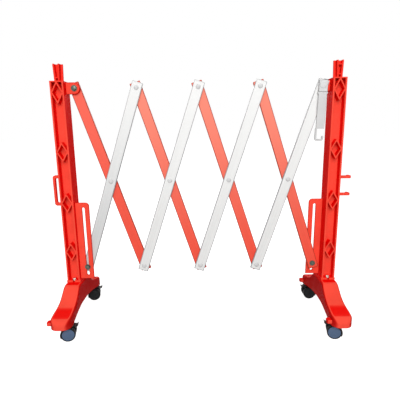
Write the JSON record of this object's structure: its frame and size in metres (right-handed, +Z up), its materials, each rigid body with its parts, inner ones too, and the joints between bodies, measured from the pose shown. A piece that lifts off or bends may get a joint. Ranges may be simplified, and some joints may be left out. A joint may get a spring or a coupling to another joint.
{
  "type": "expandable safety barrier",
  "caption": "Expanding scissor-lattice safety barrier between two wheeled posts with arched feet, swivel casters, a hanging latch and a coupling loop and hooks.",
  "frame": {"origin": "centre of the bounding box at floor level", "axes": "+X runs along the barrier from the loop's post to the hooks' post, +Y from its front face to its rear, +Z up"},
  "size_m": [1.145, 0.41, 1],
  "materials": {
    "red_plastic": "satin moulded",
    "white_plastic": "satin moulded",
    "black_plastic": "satin moulded",
    "wheel_plastic": "satin moulded",
    "zinc_steel": "zinc plated"
  },
  "bodies": {
    "left_post": {"left_post": "red_plastic", "left_foot": "red_plastic", "left_top_bracket": "red_plastic", "left_slot_plate": "red_plastic", "left_top_bolt": "zinc_steel", "left_front_foot_bolt": "zinc_steel", "left_front_caster_stem": "zinc_steel", "left_rear_foot_bolt": "zinc_steel", "left_rear_caster_stem": "zinc_steel"},
    "right_post": {"right_post": "red_plastic", "right_foot": "red_plastic", "right_top_bracket": "red_plastic", "right_slot_plate": "red_plastic", "right_top_bolt": "zinc_steel", "right_front_foot_bolt": "zinc_steel", "right_front_caster_stem": "zinc_steel", "right_rear_foot_bolt": "zinc_steel", "right_rear_caster_stem": "zinc_steel"},
    "red_bar_1": {"red_bar_1": "red_plastic", "centre_rivet_1": "white_plastic", "bottom_rivet_1": "white_plastic"},
    "white_bar_1": {"white_bar_1": "white_plastic", "left_slot_bolt": "zinc_steel"},
    "red_bar_2": {"red_bar_2": "red_plastic", "centre_rivet_2": "white_plastic", "top_rivet_1": "white_plastic", "bottom_rivet_2": "white_plastic"},
    "white_bar_2": {"white_bar_2": "white_plastic"},
    "red_bar_3": {"red_bar_3": "red_plastic", "centre_rivet_3": "white_plastic", "top_rivet_2": "white_plastic", "bottom_rivet_3": "white_plastic"},
    "white_bar_3": {"white_bar_3": "white_plastic"},
    "red_bar_4": {"red_bar_4": "red_plastic", "centre_rivet_4": "white_plastic", "top_rivet_3": "white_plastic", "right_slot_bolt": "zinc_steel"},
    "white_bar_4": {"white_bar_4": "white_plastic"},
    "latch": {"latch": "white_plastic"},
    "left_front_caster": {"left_front_caster_hood": "black_plastic", "left_front_caster_axle": "zinc_steel"},
    "left_front_outer_wheel": {"left_front_outer_wheel": "wheel_plastic"},
    "left_front_inner_wheel": {"left_front_inner_wheel": "wheel_plastic"},
    "left_front_brake_pedal": {"left_front_brake_pedal": "black_plastic"},
    "left_rear_caster": {"left_rear_caster_hood": "black_plastic", "left_rear_caster_axle": "zinc_steel"},
    "left_rear_outer_wheel": {"left_rear_outer_wheel": "wheel_plastic"},
    "left_rear_inner_wheel": {"left_rear_inner_wheel": "wheel_plastic"},
    "left_rear_brake_pedal": {"left_rear_brake_pedal": "black_plastic"},
    "right_front_caster": {"right_front_caster_hood": "black_plastic", "right_front_caster_axle": "zinc_steel"},
    "right_front_outer_wheel": {"right_front_outer_wheel": "wheel_plastic"},
    "right_front_inner_wheel": {"right_front_inner_wheel": "wheel_plastic"},
    "right_front_brake_pedal": {"right_front_brake_pedal": "black_plastic"},
    "right_rear_caster": {"right_rear_caster_hood": "black_plastic", "right_rear_caster_axle": "zinc_steel"},
    "right_rear_outer_wheel": {"right_rear_outer_wheel": "wheel_plastic"},
    "right_rear_inner_wheel": {"right_rear_inner_wheel": "wheel_plastic"},
    "right_rear_brake_pedal": {"right_rear_brake_pedal": "black_plastic"}
  },
  "joints": [
    {"name": "fold", "type": "hinge", "parent": "left_post", "child": "red_bar_1", "pos_m": [-0.4603, 0, 0.9155], "axis": [0, -1, 0], "range_deg": [-10.3, 33.5]},
    {"name": "cross_1", "type": "hinge", "parent": "red_bar_1", "child": "white_bar_1", "pos_m": [-0.3471, 0, 0.571], "axis": [0, -1, 0], "range_deg": [-67.1, 20.7]},
    {"name": "top_1", "type": "hinge", "parent": "white_bar_1", "child": "red_bar_2", "pos_m": [-0.2339, 0, 0.9155], "axis": [0, -1, 0], "range_deg": [-20.7, 67.1]},
    {"name": "cross_2", "type": "hinge", "parent": "red_bar_2", "child": "white_bar_2", "pos_m": [-0.1207, 0, 0.571], "axis": [0, -1, 0], "range_deg": [-67.1, 20.7]},
    {"name": "top_2", "type": "hinge", "parent": "white_bar_2", "child": "red_bar_3", "pos_m": [-0.0075, 0, 0.9155], "axis": [0, -1, 0], "range_deg": [-20.7, 67.1]},
    {"name": "cross_3", "type": "hinge", "parent": "red_bar_3", "child": "white_bar_3", "pos_m": [0.1057, 0, 0.571], "axis": [0, -1, 0], "range_deg": [-67.1, 20.7]},
    {"name": "top_3", "type": "hinge", "parent": "white_bar_3", "child": "red_bar_4", "pos_m": [0.2189, 0, 0.9155], "axis": [0, -1, 0], "range_deg": [-20.7, 67.1]},
    {"name": "cross_4", "type": "hinge", "parent": "red_bar_4", "child": "white_bar_4", "pos_m": [0.3321, 0, 0.571], "axis": [0, -1, 0], "range_deg": [-67.1, 20.7]},
    {"name": "right_top", "type": "hinge", "parent": "white_bar_4", "child": "right_post", "pos_m": [0.4453, 0, 0.9155], "axis": [0, -1, 0], "range_deg": [-10.4, 33.6]},
    {"name": "latch_swing", "type": "hinge", "parent": "right_post", "child": "latch", "pos_m": [0.4453, 0, 0.9155], "axis": [0, 1, 0], "range_deg": [-5, 98]},
    {"name": "left_front_swivel", "type": "hinge", "parent": "left_post", "child": "left_front_caster", "pos_m": [-0.5165, -0.159, 0.057], "axis": [0, 0, 1], "continuous": true},
    {"name": "left_front_outer_wheel_spin", "type": "hinge", "parent": "left_front_caster", "child": "left_front_outer_wheel", "pos_m": [-0.50091, -0.1554, 0.026], "axis": [-0.225, 0.9744, 0], "continuous": true},
    {"name": "left_front_inner_wheel_spin", "type": "hinge", "parent": "left_front_caster", "child": "left_front_inner_wheel", "pos_m": [-0.50091, -0.1554, 0.026], "axis": [-0.225, 0.9744, 0], "continuous": true},
    {"name": "left_front_brake", "type": "hinge", "parent": "left_front_caster", "child": "left_front_brake_pedal", "pos_m": [-0.48532, -0.1518, 0.0536], "axis": [-0.225, 0.9744, 0], "range_deg": [0, 18]},
    {"name": "left_rear_swivel", "type": "hinge", "parent": "left_post", "child": "left_rear_caster", "pos_m": [-0.5165, 0.159, 0.057], "axis": [0, 0, 1], "continuous": true},
    {"name": "left_rear_outer_wheel_spin", "type": "hinge", "parent": "left_rear_caster", "child": "left_rear_outer_wheel", "pos_m": [-0.50105, 0.16314, 0.026], "axis": [-0.2588, 0.9659, 0], "continuous": true},
    {"name": "left_rear_inner_wheel_spin", "type": "hinge", "parent": "left_rear_caster", "child": "left_rear_inner_wheel", "pos_m": [-0.50105, 0.16314, 0.026], "axis": [-0.2588, 0.9659, 0], "continuous": true},
    {"name": "left_rear_brake", "type": "hinge", "parent": "left_rear_caster", "child": "left_rear_brake_pedal", "pos_m": [-0.48559, 0.16728, 0.0536], "axis": [-0.2588, 0.9659, 0], "range_deg": [0, 18]},
    {"name": "right_front_swivel", "type": "hinge", "parent": "right_post", "child": "right_front_caster", "pos_m": [0.5015, -0.159, 0.057], "axis": [0, 0, 1], "continuous": true},
    {"name": "right_front_outer_wheel_spin", "type": "hinge", "parent": "right_front_caster", "child": "right_front_outer_wheel", "pos_m": [0.48591, -0.1554, 0.026], "axis": [0.225, 0.9744, 0], "continuous": true},
    {"name": "right_front_inner_wheel_spin", "type": "hinge", "parent": "right_front_caster", "child": "right_front_inner_wheel", "pos_m": [0.48591, -0.1554, 0.026], "axis": [0.225, 0.9744, 0], "continuous": true},
    {"name": "right_front_brake", "type": "hinge", "parent": "right_front_caster", "child": "right_front_brake_pedal", "pos_m": [0.47032, -0.1518, 0.0536], "axis": [-0.225, -0.9744, 0], "range_deg": [0, 18]},
    {"name": "right_rear_swivel", "type": "hinge", "parent": "right_post", "child": "right_rear_caster", "pos_m": [0.5015, 0.159, 0.057], "axis": [0, 0, 1], "continuous": true},
    {"name": "right_rear_outer_wheel_spin", "type": "hinge", "parent": "right_rear_caster", "child": "right_rear_outer_wheel", "pos_m": [0.4855, 0.159, 0.026], "axis": [0, 1, 0], "continuous": true},
    {"name": "right_rear_inner_wheel_spin", "type": "hinge", "parent": "right_rear_caster", "child": "right_rear_inner_wheel", "pos_m": [0.4855, 0.159, 0.026], "axis": [0, 1, 0], "continuous": true},
    {"name": "right_rear_brake", "type": "hinge", "parent": "right_rear_caster", "child": "right_rear_brake_pedal", "pos_m": [0.4695, 0.159, 0.0536], "axis": [0, -1, 0], "range_deg": [0, 18]}
  ],
  "couplings": [
    {"joint": "cross_1", "follows": "fold", "ratio": -2},
    {"joint": "top_1", "follows": "fold", "ratio": 2},
    {"joint": "cross_2", "follows": "fold", "ratio": -2},
    {"joint": "top_2", "follows": "fold", "ratio": 2},
    {"joint": "cross_3", "follows": "fold", "ratio": -2},
    {"joint": "top_3", "follows": "fold", "ratio": 2},
    {"joint": "cross_4", "follows": "fold", "ratio": -2},
    {"joint": "right_top", "follows": "fold", "ratio": 1}
  ]
}
